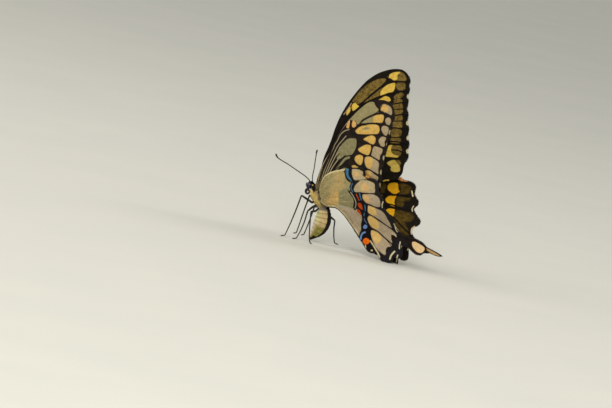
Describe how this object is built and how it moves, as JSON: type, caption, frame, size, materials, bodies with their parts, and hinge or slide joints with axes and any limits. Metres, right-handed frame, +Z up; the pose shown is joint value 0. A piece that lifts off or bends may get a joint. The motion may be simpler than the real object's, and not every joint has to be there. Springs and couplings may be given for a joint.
{
  "type": "giant swallowtail butterfly model",
  "caption": "Life-size still model of a giant swallowtail butterfly standing with half-open wings, abdomen curled down and long hindwing tails.",
  "frame": {"origin": "floor level, under the middle of the model's bounding box", "axes": "+Z up, -X towards the head, -Y towards the butterfly's left side"},
  "size_m": [0.0836, 0.0416, 0.0836],
  "materials": {
    "body_dark": "black hairy scales",
    "eye": "smooth dark blue-violet compound eye",
    "leg_dark": "black horny skin, faintly shiny",
    "thorax_fur": "yellow hairs on the sides, black above",
    "abdomen_fur": "cream-yellow scales with a black stripe along the back",
    "wing_scales": "powdery matt scales; khaki and yellow with black veins below, brown-black with yellow bands above"
  },
  "bodies": {
    "root": {"head": "body_dark", "eye_left": "eye", "eye_right": "eye", "antenna_left": "leg_dark", "antenna_right": "leg_dark", "palp_left": "body_dark", "palp_right": "body_dark", "proboscis": "leg_dark", "thorax": "thorax_fur", "abdomen": "abdomen_fur", "leg_fore_left": "leg_dark", "leg_mid_left": "leg_dark", "leg_hind_left": "leg_dark", "leg_fore_right": "leg_dark", "leg_mid_right": "leg_dark", "leg_hind_right": "leg_dark", "forewing_left": "wing_scales", "forewing_right": "wing_scales", "hindwing_left": "wing_scales", "hindwing_right": "wing_scales"}
  },
  "joints": []
}
